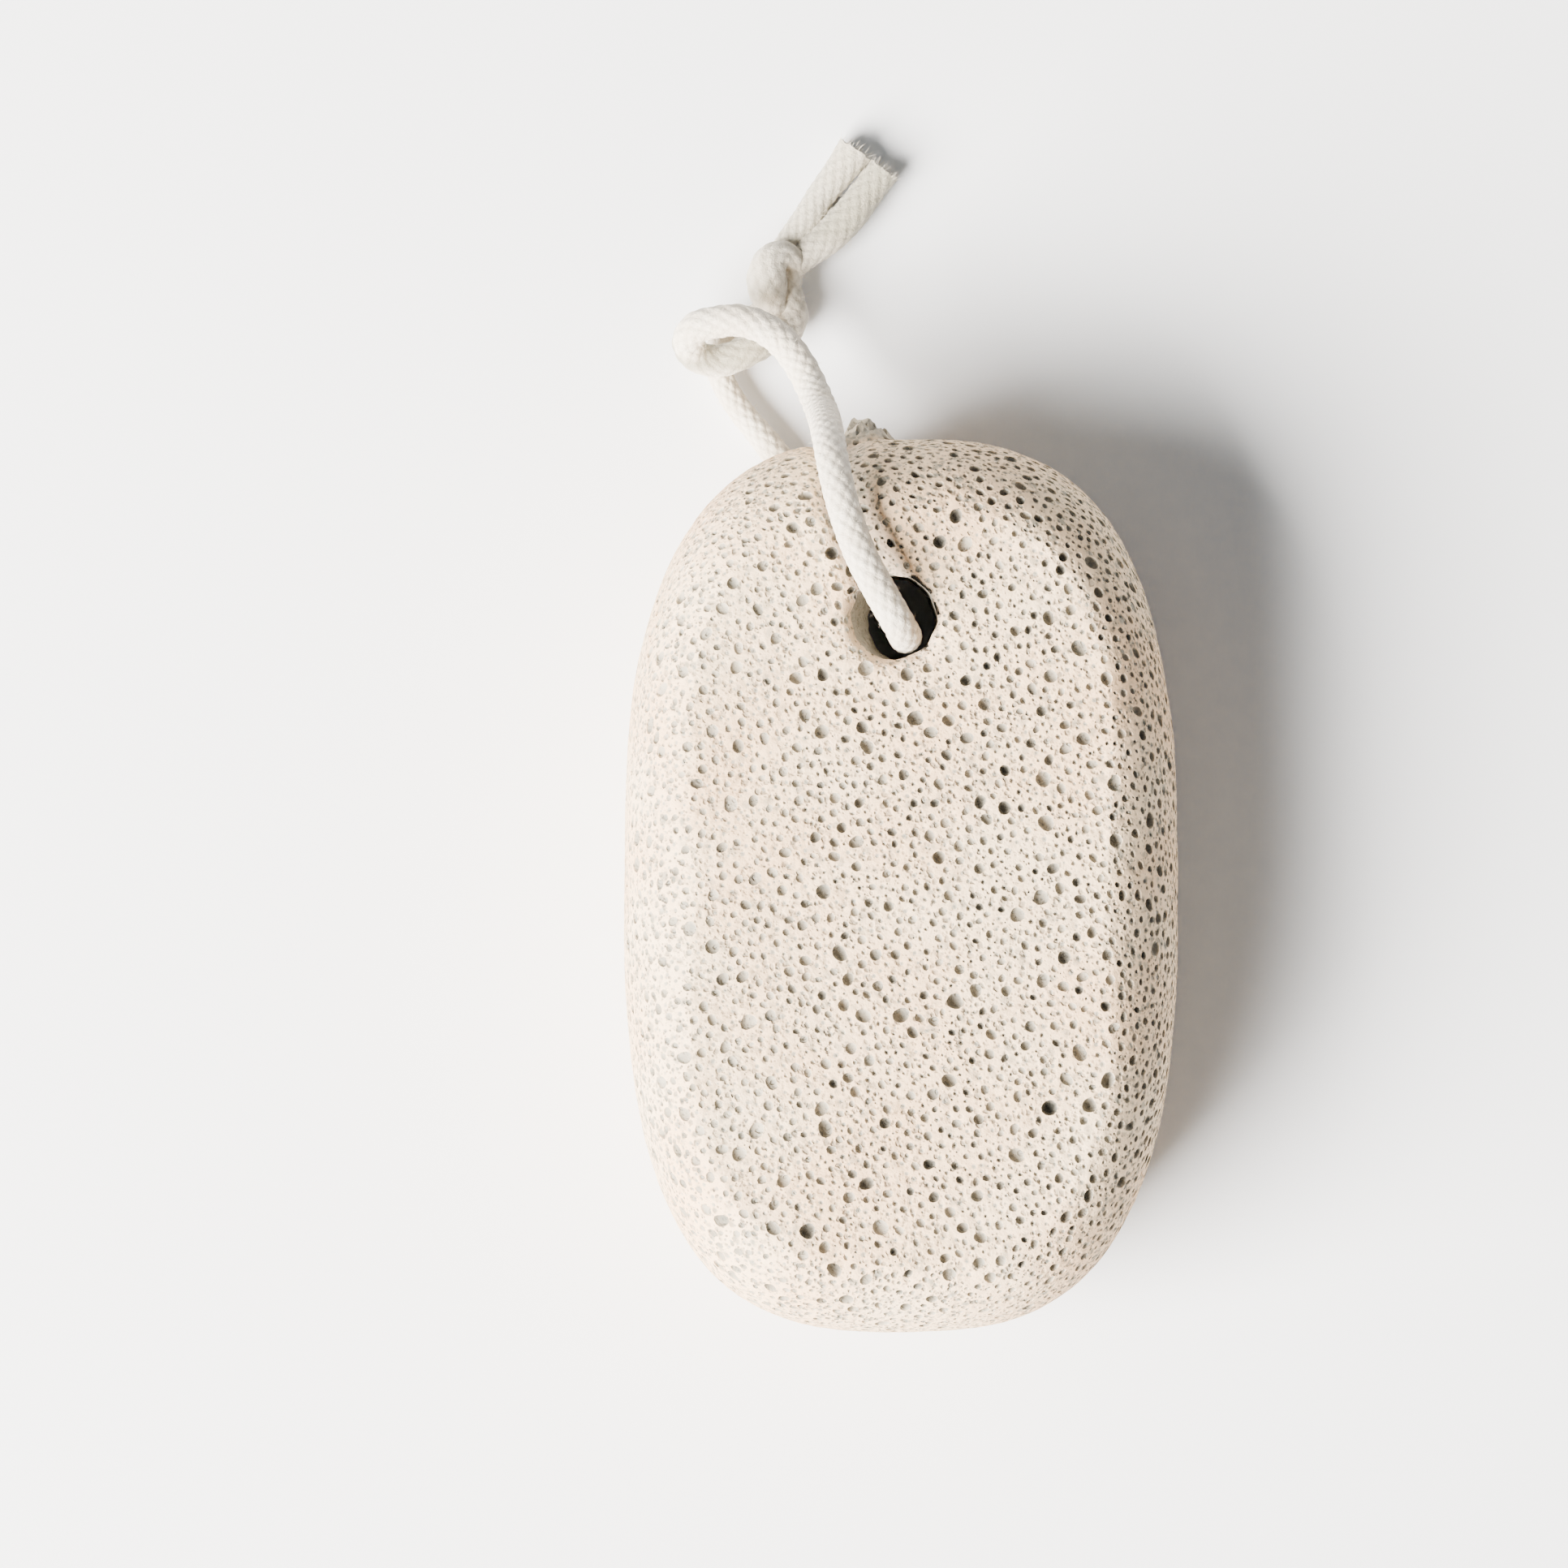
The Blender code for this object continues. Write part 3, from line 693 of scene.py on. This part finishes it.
def tube_object(name, rings, crevice, route, material):
    """One closed stretch of rope from its rings, with a flat cap at each end."""
    rows, sides = rings.shape[:2]
    points = [rings.reshape(-1, 3)]
    gaps = [crevice.ravel()]
    faces = []
    for row in range(rows - 1):
        for i in range(sides):
            j = (i + 1) % sides
            here, there = row * sides, (row + 1) * sides
            faces.append((here + i, here + j, there + j, there + i))
    total = rows * sides
    for ring, centre, order in ((0, route[0], -1), (rows - 1, route[-1], 1)):
        outer = ring * sides + np.arange(sides)
        for share in CAP_RINGS:
            points.append(centre + (rings[ring] - centre) * share)
            # Painted shade, half as dark, on the end caps
            gaps.append(np.full(sides, 0.5))
            inner = total + np.arange(sides)
            total += sides
            for i in range(sides):
                j = (i + 1) % sides
                faces.append(tuple(int(v) for v in (outer[i], outer[j], inner[j], inner[i])[::order]))
            outer = inner
        points.append(centre[None, :])
        gaps.append(np.full(1, 0.5))
        for i in range(sides):
            j = (i + 1) % sides
            faces.append(tuple(int(v) for v in (outer[i], outer[j], total)[::order]))
        total += 1
    points = np.vstack(points)
    item = mesh_object(name, points, faces, material,
                       (("crevice", np.concatenate(gaps)), ("yarn_shade", yarn_shade_at(points))))
    item.data.shade_smooth()
    item.data.set_sharp_from_angle(angle=ROPE_SHARP)
    return item


def make_strand(free_name, knot_name, free_route, knot_route, drawn, material):
    """A free rope and the stretch of it in the knot, cut from one run of braid where they meet.

    After them come the free rope's middle line, the whole line with its radii, and the place,
    direction and radius of the cut end.
    """
    whole = [(*point, ROPE_RADIUS - drawn * float(smooth_step(*DRAWN_BETWEEN, point[1])))
             for point in free_route] + list(knot_route)
    route = smooth_route(whole, RING_STEP)
    centres = route[:, :3]
    rings, crevice = rope_surface(centres, route[:, 3])
    cut = int(np.argmin(np.linalg.norm(centres - np.array(free_route[-1]), axis=1)))
    free = tube_object(
        free_name, rings[:cut + 1], crevice[:cut + 1], centres[:cut + 1], material)
    knot = tube_object(knot_name, rings[cut:], crevice[cut:], centres[cut:], material)
    along = centres[-1] - centres[-4]
    along /= np.linalg.norm(along)
    fray_cut(knot, centres[-1], along)
    return free, knot, centres[:cut + 1], (centres, route[:, 3]), (centres[-1], along, route[-1, 3])


def make_knot_turn(material):
    """The turn of rope that binds the knot."""
    route = smooth_route(KNOT_TURN_ROUTE, RING_STEP)
    rings, crevice = rope_surface(route[:, :3], route[:, 3])
    return tube_object("knot_turn", rings, crevice, route[:, :3], material)


def fray_cut(piece, middle, along):
    """Make the cut face of a tail uneven, as cut yarn is."""
    place = np.empty(len(piece.data.vertices) * 3)
    piece.data.vertices.foreach_get("co", place)
    place = place.reshape(-1, 3) / MM
    ahead = (place - middle) @ along
    at_cut = np.linalg.norm(place - middle, axis=1) < CUT_REACH
    near = smooth_step(-CUT_DEPTH, 0.0, ahead) * at_cut
    place += along * (near * CUT_ROUGHNESS * noise_at(place, *CUT_NOISE))[:, None]
    piece.data.vertices.foreach_set("co", (place * MM).ravel())
    piece.data.update()


def add_fibre(root, way, bend, length, points, faces):
    """One thin curved fibre, as a three-sided prism that ends in a point."""
    first = len(points)
    side = np.cross(way, bend)
    side /= max(np.linalg.norm(side), 1e-6)
    up = np.cross(way, side)
    for share in FIBRE_RINGS:
        middle = root + way * length * share + bend * length * share ** 2
        thick = FIBRE_RADIUS * (1 - FIBRE_TAPER * share)
        for turn in (0.0, math.tau / 3, 2 * math.tau / 3):
            points.append(middle + thick * (math.cos(turn) * side + math.sin(turn) * up))
    points.append(root + way * length + bend * length)
    for row in (first, first + 3):
        for i in range(3):
            j = (i + 1) % 3
            faces.append((row + i, row + j, row + 3 + j, row + 3 + i))
    for i in range(3):
        faces.append((first + 6 + i, first + 6 + (i + 1) % 3, first + 9))
    faces.append((first + 2, first + 1, first))


def make_fuzz(strands, cuts, material):
    """Loose cotton fibres along the rope and at its cut ends."""
    chance = np.random.default_rng(FIBRE_SEED)
    points, faces = [], []
    for centres, radii in strands:
        sides, ups = ring_frames(centres)
        runs = np.gradient(centres, axis=0) / RING_STEP
        for _ in range(int(len(centres) * RING_STEP * FIBRES_PER_MM)):
            at = chance.integers(0, len(centres))
            turn = chance.uniform(0, math.tau)
            out = math.cos(turn) * sides[at] + math.sin(turn) * ups[at]
            root = centres[at] + out * (radii[at] - FIBRE_ROOT)
            in_hole = math.dist(root[:2], HOLE_AT) < HOLE_RADIUS and root[2] < THICKNESS
            if in_hole or root[2] < FIBRE_LOWEST_ROOT:
                continue
            way = out * chance.uniform(*FIBRE_OUT) + runs[at] * chance.normal(0, FIBRE_ALONG)
            way += np.cross(out, runs[at]) * chance.normal(0, FIBRE_ACROSS)
            way /= np.linalg.norm(way)
            bend = chance.normal(0, FIBRE_BEND, 3)
            length = chance.uniform(*FIBRE_LENGTH) * SIDE_FIBRE_SHARE
            add_fibre(root, way, bend, length, points, faces)
    for middle, along, radius in cuts:
        across = np.cross(along, (0.0, 0.0, 1.0))
        for _ in range(CUT_FIBRES):
            turn, reach = chance.uniform(0, math.tau), radius * math.sqrt(chance.uniform(0, 1))
            root = middle + across * math.cos(turn) * reach
            root[2] += math.sin(turn) * reach
            root -= along * CUT_FIBRE_ROOT
            way = along + chance.normal(0, CUT_FIBRE_STRAY, 3) + (root - middle) * CUT_FIBRE_FAN
            way /= np.linalg.norm(way)
            bend = chance.normal(0, CUT_FIBRE_BEND, 3)
            add_fibre(root, way, bend, chance.uniform(*FIBRE_LENGTH), points, faces)
    place = np.array(points)
    place[:, 2] = np.maximum(place[:, 2], FIBRE_FLOOR)
    return mesh_object("fibres", place, faces, material)


# Materials

def new_group(name, sockets):
    """An empty shader node group with the given inputs and outputs."""
    group = bpy.data.node_groups.new(name, "ShaderNodeTree")
    for label, direction, kind, value in sockets:
        socket = group.interface.new_socket(label, in_out=direction, socket_type="NodeSocket" + kind)
        if value is not None:
            socket.default_value = value
    return group, group.nodes.new("NodeGroupInput"), group.nodes.new("NodeGroupOutput")


def mottle_group():
    """Slow patches of colour: mixes between two colours by noise."""
    group, given, result = new_group("Mottle", (
        ("Position", "INPUT", "Vector", None), ("Scale", "INPUT", "Float", 60.0),
        ("First", "INPUT", "Color", None), ("Second", "INPUT", "Color", None),
        ("Color", "OUTPUT", "Color", None)))
    patches = group.nodes.new("ShaderNodeTexNoise")
    patches.inputs["Detail"].default_value = 3.0
    mix = group.nodes.new("ShaderNodeMix")
    mix.data_type = "RGBA"
    spread = group.nodes.new("ShaderNodeMapRange")
    spread.inputs["From Min"].default_value = 0.35
    spread.inputs["From Max"].default_value = 0.65
    link = group.links.new
    link(given.outputs["Position"], patches.inputs["Vector"])
    link(given.outputs["Scale"], patches.inputs["Scale"])
    link(patches.outputs["Fac"], spread.inputs["Value"])
    link(spread.outputs["Result"], mix.inputs["Factor"])
    link(given.outputs["First"], mix.inputs["A"])
    link(given.outputs["Second"], mix.inputs["B"])
    link(mix.outputs["Result"], result.inputs["Color"])
    return group


def grain_group():
    """Fine grain: a height made of rough noise."""
    group, given, result = new_group("Grain", (
        ("Position", "INPUT", "Vector", None), ("Scale", "INPUT", "Float", 900.0),
        ("Height", "OUTPUT", "Float", None)))
    grains = group.nodes.new("ShaderNodeTexNoise")
    grains.inputs["Detail"].default_value = 5.0
    grains.inputs["Roughness"].default_value = 0.65
    link = group.links.new
    link(given.outputs["Position"], grains.inputs["Vector"])
    link(given.outputs["Scale"], grains.inputs["Scale"])
    link(grains.outputs["Fac"], result.inputs["Height"])
    return group


def bubbles_group():
    """Pores too small to model: a mask that rises to 1 in the middle of the deepest."""
    group, given, result = new_group("Small pores", (
        ("Position", "INPUT", "Vector", None), ("Scale", "INPUT", "Float", 1600.0),
        ("Reach", "INPUT", "Float", 0.5), ("Share", "INPUT", "Float", 0.6),
        ("Bend", "INPUT", "Float", 0.0003), ("Mask", "OUTPUT", "Float", None)))
    wobble = group.nodes.new("ShaderNodeTexNoise")
    wobble.inputs["Scale"].default_value = 1300.0
    middle = group.nodes.new("ShaderNodeVectorMath")
    middle.operation = "SUBTRACT"
    middle.inputs[1].default_value = (0.5, 0.5, 0.5)
    bent = group.nodes.new("ShaderNodeVectorMath")
    bent.operation = "SCALE"
    moved = group.nodes.new("ShaderNodeVectorMath")
    moved.operation = "ADD"
    cells = group.nodes.new("ShaderNodeTexVoronoi")
    cells.feature = "F1"
    chance = group.nodes.new("ShaderNodeSeparateColor")
    reach = group.nodes.new("ShaderNodeMath")
    reach.operation = "MULTIPLY_ADD"
    reach.inputs[1].default_value = 0.2
    hollow = group.nodes.new("ShaderNodeMapRange")
    hollow.interpolation_type = "SMOOTHSTEP"
    hollow.inputs["To Min"].default_value = 1.0
    hollow.inputs["To Max"].default_value = 0.0
    core = group.nodes.new("ShaderNodeMath")
    core.operation = "MULTIPLY"
    core.inputs[1].default_value = 0.35
    present = group.nodes.new("ShaderNodeMath")
    present.operation = "LESS_THAN"
    deep = group.nodes.new("ShaderNodeMapRange")
    deep.inputs["To Min"].default_value = 0.3
    here = group.nodes.new("ShaderNodeMath")
    here.operation = "MULTIPLY"
    both = group.nodes.new("ShaderNodeMath")
    both.operation = "MULTIPLY"
    link = group.links.new
    link(given.outputs["Position"], wobble.inputs["Vector"])
    link(wobble.outputs["Color"], middle.inputs[0])
    link(middle.outputs["Vector"], bent.inputs["Vector"])
    link(given.outputs["Bend"], bent.inputs["Scale"])
    link(given.outputs["Position"], moved.inputs[0])
    link(bent.outputs["Vector"], moved.inputs[1])
    link(moved.outputs["Vector"], cells.inputs["Vector"])
    link(given.outputs["Scale"], cells.inputs["Scale"])
    link(cells.outputs["Color"], chance.inputs["Color"])
    link(chance.outputs["Green"], reach.inputs[0])
    link(given.outputs["Reach"], reach.inputs[2])
    link(cells.outputs["Distance"], hollow.inputs["Value"])
    link(reach.outputs["Value"], hollow.inputs["From Max"])
    link(reach.outputs["Value"], core.inputs[0])
    link(core.outputs["Value"], hollow.inputs["From Min"])
    link(chance.outputs["Red"], present.inputs[0])
    link(given.outputs["Share"], present.inputs[1])
    link(chance.outputs["Blue"], deep.inputs["Value"])
    link(present.outputs["Value"], here.inputs[0])
    link(deep.outputs["Result"], here.inputs[1])
    link(hollow.outputs["Result"], both.inputs[0])
    link(here.outputs["Value"], both.inputs[1])
    link(both.outputs["Value"], result.inputs["Mask"])
    return group


def new_material(name, roughness):
    material = bpy.data.materials.new(name)
    material.use_nodes = True
    shader = material.node_tree.nodes["Principled BSDF"]
    shader.inputs["Roughness"].default_value = roughness
    return material, material.node_tree, shader


def add_group(tree, group, **values):
    node = tree.nodes.new("ShaderNodeGroup")
    node.node_tree = group
    for label, value in values.items():
        node.inputs[label].default_value = value
    return node


def blend_colour(tree, factor, low, high):
    """A colour mix whose ends are sockets or plain colours."""
    mix = tree.nodes.new("ShaderNodeMix")
    mix.data_type = "RGBA"
    for label, source in (("Factor", factor), ("A", low), ("B", high)):
        if isinstance(source, bpy.types.NodeSocket):
            tree.links.new(source, mix.inputs[label])
        else:
            mix.inputs[label].default_value = source
    return mix.outputs["Result"]


def attribute_value(tree, name):
    node = tree.nodes.new("ShaderNodeAttribute")
    node.attribute_name = name
    return node.outputs["Fac"]


def add_bump(tree, shader, height, distance):
    bump = tree.nodes.new("ShaderNodeBump")
    bump.inputs["Strength"].default_value = 1.0
    bump.inputs["Distance"].default_value = distance
    tree.links.new(height, bump.inputs["Height"])
    tree.links.new(bump.outputs["Normal"], shader.inputs["Normal"])


def add_maths(tree, operation, first, second):
    """A maths node on sockets or plain numbers."""
    node = tree.nodes.new("ShaderNodeMath")
    node.operation = operation
    for slot, source in enumerate((first, second)):
        if isinstance(source, bpy.types.NodeSocket):
            tree.links.new(source, node.inputs[slot])
        else:
            node.inputs[slot].default_value = source
    return node.outputs["Value"]


def pumice_material(mottle, grain, bubbles):
    """Dry cream rock with painted shade: darker and greyer in its pores, modelled or too small to
    model, and on the crumb; in the rope's channels and the hole, rubbed wear mixed with painted shade.
    """
    material, tree, shader = new_material("pumice", 0.95)
    position = tree.nodes.new("ShaderNodeTexCoord").outputs["Object"]
    link = tree.links.new
    rock = add_group(tree, mottle, Scale=70.0, **ROCK_COLOURS)
    broad = add_group(tree, bubbles, Scale=640.0, Reach=0.32, Share=0.8, Bend=0.0009)
    soft = add_group(tree, bubbles, Scale=1100.0, Reach=0.36, Share=0.9, Bend=0.0006)
    small = add_group(tree, bubbles, Scale=2100.0, Reach=0.34, Share=0.7, Bend=0.0003)
    for group in (rock, broad, soft, small):
        link(position, group.inputs["Position"])
    # The channels, the lips of the hole and its wall: rubbed wear mixed with painted shade
    wear_and_shade = add_maths(tree, "MULTIPLY", attribute_value(tree, "wear_and_shade"), WORN_AND_SHADED_SHARE)
    worn = blend_colour(tree, wear_and_shade, rock.outputs["Color"], WORN_AND_SHADED_ROCK)
    # Painted shade in pores too small to model
    faint = add_maths(tree, "MULTIPLY", broad.outputs["Mask"], BROAD_SHARE)
    broad_pore_shaded = blend_colour(tree, faint, worn, BROAD_PORE)
    soft_pore_shaded = blend_colour(tree, soft.outputs["Mask"], broad_pore_shaded, SOFT_PORE)
    small_pore_shaded = blend_colour(tree, small.outputs["Mask"], soft_pore_shaded, SMALL_PORE)
    # Painted shade in the modelled pores, the crumb and the hole's wall
    pore = attribute_value(tree, "pore")
    wall = add_maths(tree, "MINIMUM", add_maths(tree, "MULTIPLY", pore, PORE_WALL_RISE),
                     PORE_WALL_SHARE)
    pore_shaded = blend_colour(tree, wall, small_pore_shaded, PORE_WALL)
    link(blend_colour(tree, pore, pore_shaded, PORE_BOTTOM), shader.inputs["Base Color"])
    fine = add_group(tree, grain, Scale=1500.0)
    link(position, fine.inputs["Position"])
    hollows = add_maths(tree, "ADD", add_maths(tree, "MULTIPLY", soft.outputs["Mask"], 1.4),
                        add_maths(tree, "MULTIPLY", small.outputs["Mask"], 0.5))
    height = add_maths(tree, "SUBTRACT", fine.outputs["Height"], hollows)
    add_bump(tree, shader, height, 0.00018)
    return material


def cotton_material(mottle, grain, bubbles):
    """Soft off-white yarn with fine darker flecks, and painted shade: darker between the strands and on
    the end caps, greyer in the knot and the tails, most under the curl.
    """
    material, tree, shader = new_material("cotton", 0.9)
    shader.inputs["Sheen Weight"].default_value = 0.25
    shader.inputs["Sheen Roughness"].default_value = 0.6
    position = tree.nodes.new("ShaderNodeTexCoord").outputs["Object"]
    link = tree.links.new
    yarn = add_group(tree, mottle, Scale=240.0, **YARN_COLOURS)
    flecks = add_group(tree, bubbles, Scale=1700.0, Reach=0.45, Share=0.6, Bend=0.0008)
    fine = add_group(tree, grain, Scale=2600.0)
    for group in (yarn, flecks, fine):
        link(position, group.inputs["Position"])
    faint = add_maths(tree, "MULTIPLY", flecks.outputs["Mask"], FLECK_SHARE)
    flecked = blend_colour(tree, faint, yarn.outputs["Color"], YARN_FLECK)
    # Painted shade between the braid's strands and on the end caps
    shaded = blend_colour(tree, attribute_value(tree, "crevice"), flecked, YARN_GAP)
    # Painted shade in the knot, the tails and under the curl
    yarn_shaded = blend_colour(tree, attribute_value(tree, "yarn_shade"), shaded, YARN_SHADE)
    link(yarn_shaded, shader.inputs["Base Color"])
    add_bump(tree, shader, fine.outputs["Height"], 0.0002)
    return material


def floor_material():
    material, _, shader = new_material("paper", 0.85)
    shader.inputs["Base Color"].default_value = FLOOR_COLOUR
    return material


# The room

def make_floor(material):
    bm = bmesh.new()
    bmesh.ops.create_grid(bm, x_segments=1, y_segments=1, size=FLOOR_HALF)
    bmesh.ops.translate(bm, verts=bm.verts, vec=(0, 0, -FLOOR_DROP))
    mesh = bpy.data.meshes.new("floor")
    bm.to_mesh(mesh)
    bm.free()
    mesh.materials.append(material)
    floor = bpy.data.objects.new("floor", mesh)
    bpy.context.scene.collection.objects.link(floor)


def make_light():
    """A faint even sky and one large softbox from the lower left."""
    world = bpy.data.worlds.new("studio")
    bpy.context.scene.world = world
    world.use_nodes = True
    background = world.node_tree.nodes["Background"]
    background.inputs["Color"].default_value = SKY_COLOUR
    background.inputs["Strength"].default_value = SKY_STRENGTH
    lamp = bpy.data.lights.new("key", "AREA")
    lamp.size = KEY_SIZE
    lamp.energy = KEY_WATTS
    lamp.color = KEY_COLOUR
    item = bpy.data.objects.new("key", lamp)
    item.location = KEY_AT
    item.rotation_euler = (-Vector(KEY_AT)).to_track_quat("-Z", "Y").to_euler()
    bpy.context.scene.collection.objects.link(item)


def make_camera():
    camera = bpy.data.cameras.new("camera")
    camera.sensor_width = SENSOR
    distance = CAMERA_HEIGHT - THICKNESS / 2
    camera.lens = SENSOR * distance / (PHOTO_SIDE / PHOTO_PIXELS_PER_MM)
    item = bpy.data.objects.new("camera", camera)
    middle = PHOTO_SIDE / 2
    item.location = (
        (middle - PHOTO_STONE_MIDDLE[0]) / PHOTO_PIXELS_PER_MM * MM,
        (PHOTO_STONE_MIDDLE[1] - middle) / PHOTO_PIXELS_PER_MM * MM,
        CAMERA_HEIGHT * MM)
    bpy.context.scene.collection.objects.link(item)
    bpy.context.scene.camera = item


def make_rope(cotton):
    """The two free stretches, what each is in the knot, the turn that binds it and the fibres."""
    front, right, front_path, front_strand, front_cut = make_strand(
        "rope_over", "knot_right", ROPE_FRONT_ROUTE, KNOT_RIGHT_ROUTE, 0.0, cotton)
    back, left, back_path, back_strand, back_cut = make_strand(
        "rope_under", "knot_left", ROPE_BACK_ROUTE, KNOT_LEFT_ROUTE, ROPE_DRAWN_THIN, cotton)
    turn = make_knot_turn(cotton)
    fuzz = make_fuzz((front_strand, back_strand), (front_cut, back_cut), cotton)
    for piece in (front, right, back, left, turn, fuzz):
        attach(piece, "root")
    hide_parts("rope_front")
    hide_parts("rope_back")
    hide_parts("rope_knot")
    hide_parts("rope_tail_left")
    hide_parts("rope_tail_right")


mottle, grain, bubbles = mottle_group(), grain_group(), bubbles_group()
make_camera()
make_light()
make_floor(floor_material())
stone = make_stone(pumice_material(mottle, grain, bubbles))
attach(stone, "root")
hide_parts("stone")
make_rope(cotton_material(mottle, grain, bubbles))
